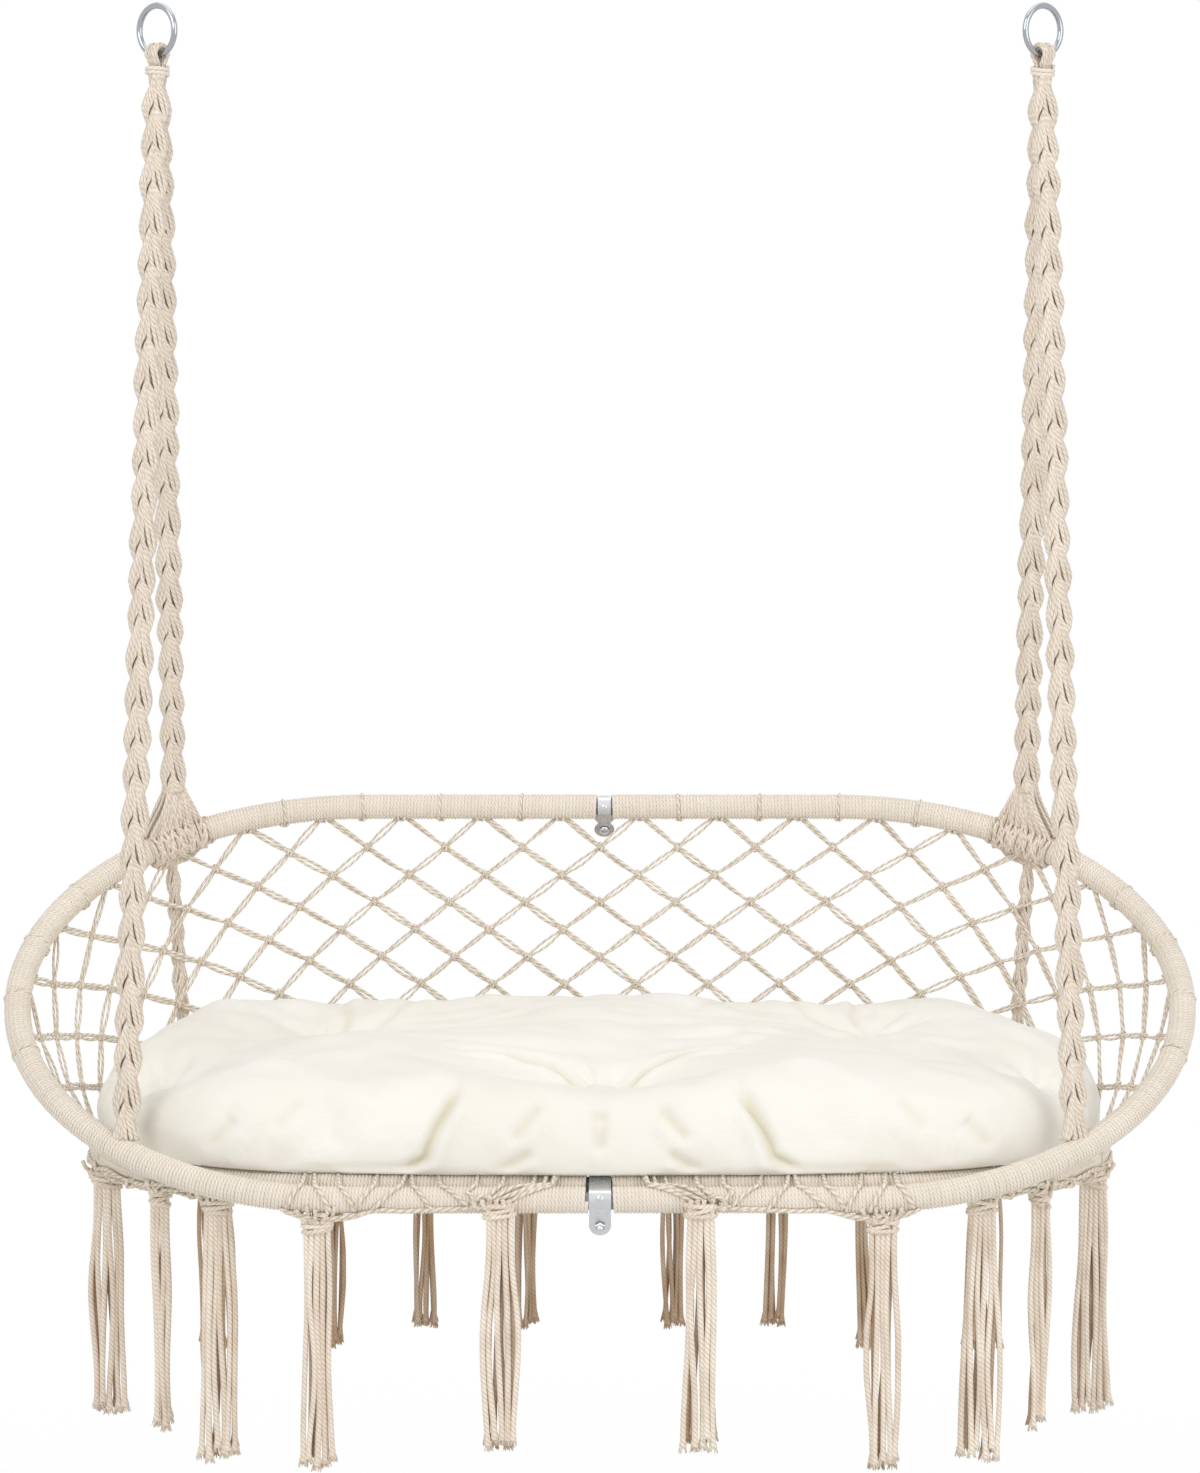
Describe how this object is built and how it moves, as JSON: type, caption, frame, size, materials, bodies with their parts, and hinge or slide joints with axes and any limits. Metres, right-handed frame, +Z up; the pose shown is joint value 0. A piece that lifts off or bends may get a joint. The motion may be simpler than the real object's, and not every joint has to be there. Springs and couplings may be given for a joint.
{
  "type": "hanging hammock chair",
  "caption": "Two-seat hanging macrame seat: cord-wrapped steel hoops, knotted net, plaited ropes, tufted cushion and tassel fringe.",
  "frame": {"origin": "midway between the two hook seats, the inner top of each hang ring's wire", "axes": "+Z up, +X along the seat towards the right as seen from the open front, -Y towards the open front"},
  "size_m": [1.2382, 0.5674, 1.4729],
  "materials": {
    "ring_steel": "polished",
    "bracket_zinc": "bright zinc plate",
    "tube_steel": "plain",
    "wrap_cord": "close-wound cotton cord",
    "net_cord": "twisted cotton cord",
    "rope_cotton": "plaited cotton cord",
    "tassel_cord": "loose twisted cotton cord",
    "cushion_canvas": "plain woven canvas"
  },
  "bodies": {
    "hang_rings": {"left_hang_ring": "ring_steel", "right_hang_ring": "ring_steel"},
    "swing_seat": {"back_hoop_tube_left": "tube_steel", "back_hoop_wrap_left": "wrap_cord", "back_hoop_tube_right": "tube_steel", "back_hoop_wrap_right": "wrap_cord", "back_hoop_splice_front": "tube_steel", "back_hoop_splice_back": "tube_steel", "seat_hoop_tube_left": "tube_steel", "seat_hoop_wrap_left": "wrap_cord", "seat_hoop_tube_right": "tube_steel", "seat_hoop_wrap_right": "wrap_cord", "seat_hoop_splice_front": "tube_steel", "seat_hoop_splice_back": "tube_steel", "front_bracket": "bracket_zinc", "front_bolt": "bracket_zinc", "front_acorn_nut": "bracket_zinc", "front_screw": "bracket_zinc", "back_bracket": "bracket_zinc", "back_bolt": "bracket_zinc", "back_acorn_nut": "bracket_zinc", "back_screw": "bracket_zinc", "rear_bracket": "bracket_zinc", "rear_bolt": "bracket_zinc", "rear_acorn_nut": "bracket_zinc", "front_left_rope": "rope_cotton", "back_left_rope": "rope_cotton", "back_left_rope_fan": "rope_cotton", "back_left_braid": "rope_cotton", "front_right_rope": "rope_cotton", "back_right_rope": "rope_cotton", "back_right_rope_fan": "rope_cotton", "back_right_braid": "rope_cotton", "back_net": "net_cord", "left_side_net": "net_cord", "right_side_net": "net_cord", "seat_net": "net_cord", "front_left_tassel_1": "tassel_cord", "front_left_tassel_2": "tassel_cord", "front_left_tassel_3": "tassel_cord", "front_left_tassel_4": "tassel_cord", "front_left_tassel_5": "tassel_cord", "back_left_tassel_1": "tassel_cord", "back_left_tassel_2": "tassel_cord", "back_left_tassel_3": "tassel_cord", "back_left_tassel_4": "tassel_cord", "front_right_tassel_1": "tassel_cord", "front_right_tassel_2": "tassel_cord", "front_right_tassel_3": "tassel_cord", "front_right_tassel_4": "tassel_cord", "front_right_tassel_5": "tassel_cord", "back_right_tassel_1": "tassel_cord", "back_right_tassel_2": "tassel_cord", "back_right_tassel_3": "tassel_cord", "back_right_tassel_4": "tassel_cord", "left_rope_eye": "rope_cotton", "left_rope_binding": "rope_cotton", "right_rope_eye": "rope_cotton", "right_rope_binding": "rope_cotton"},
    "cushion": {"seat_cushion": "cushion_canvas"}
  },
  "joints": [
    {"name": "seat_swing", "type": "hinge", "parent": "hang_rings", "child": "swing_seat", "pos_m": [0, 0, -0.04725], "axis": [1, 0, 0], "range_deg": [-25, 25]},
    {"name": "cushion_lift", "type": "slide", "parent": "swing_seat", "child": "cushion", "axis": [0, 0, 1], "range_m": [0, 0.12]}
  ]
}
